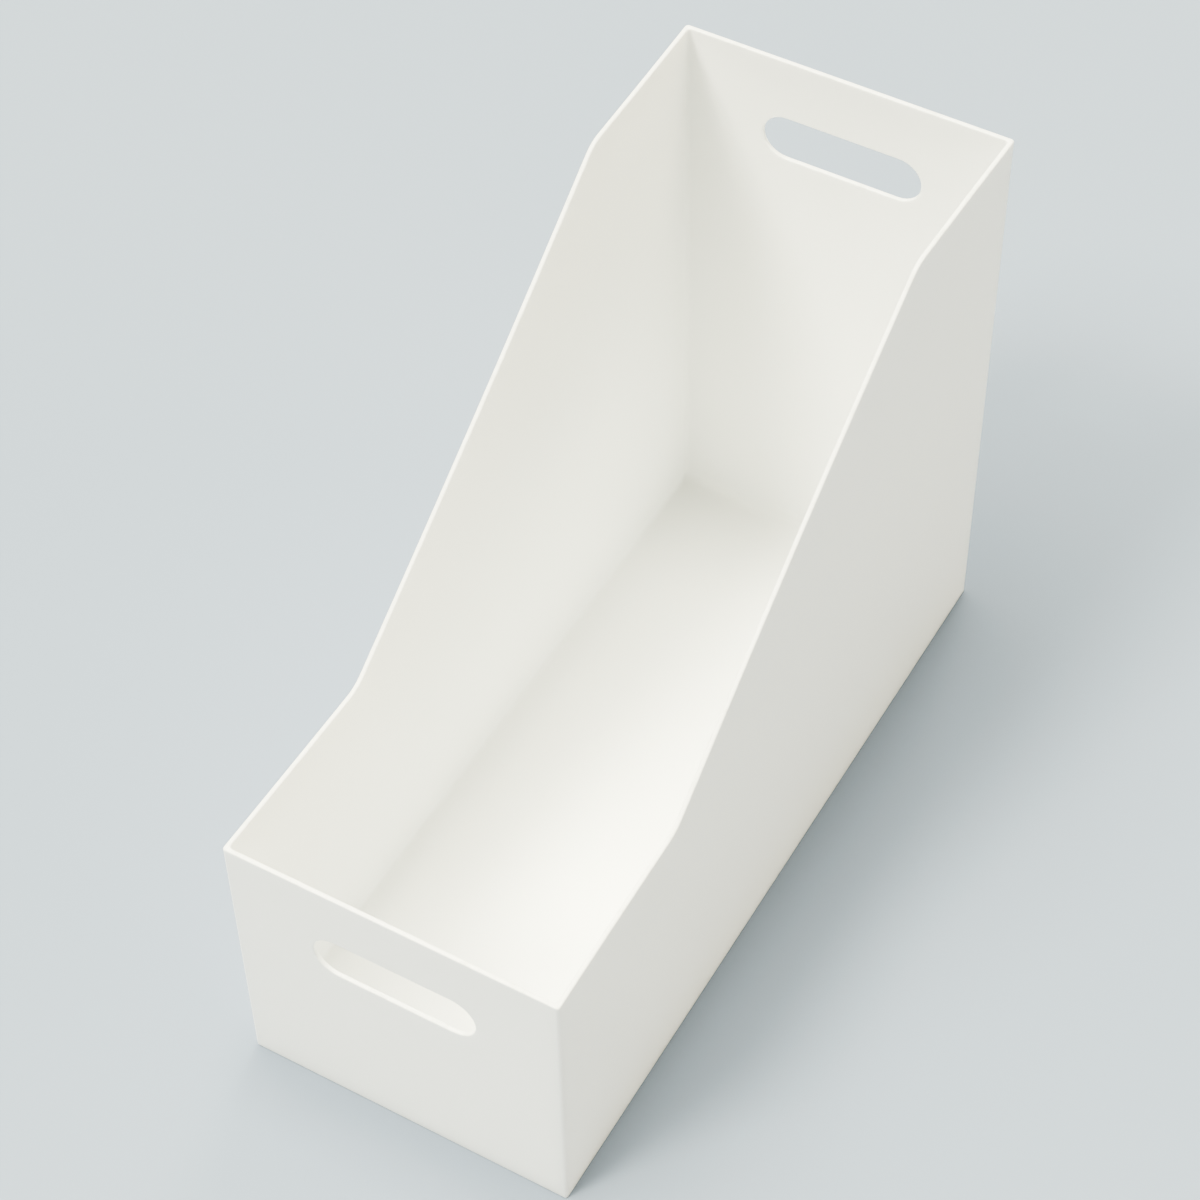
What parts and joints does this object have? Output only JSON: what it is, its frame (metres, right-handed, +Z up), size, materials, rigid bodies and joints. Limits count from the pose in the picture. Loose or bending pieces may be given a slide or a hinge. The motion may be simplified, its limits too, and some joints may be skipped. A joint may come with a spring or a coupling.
{
  "type": "magazine file holder",
  "caption": "Open-topped white plastic file holder with a low front, a tall back, side walls whose rims slope up between them, and a hand slot in each end wall.",
  "frame": {"origin": "middle of the footprint, on the surface that the holder stands on", "axes": "+X across the width, +Y from the low front to the tall back, +Z up"},
  "size_m": [0.13, 0.32, 0.24],
  "materials": {
    "white_polypropylene": "satin white injection-moulded polypropylene with a very fine moulded grain"
  },
  "bodies": {
    "root": {"base": "white_polypropylene", "front_wall": "white_polypropylene", "back_wall": "white_polypropylene", "left_side_wall": "white_polypropylene", "right_side_wall": "white_polypropylene"}
  },
  "joints": []
}
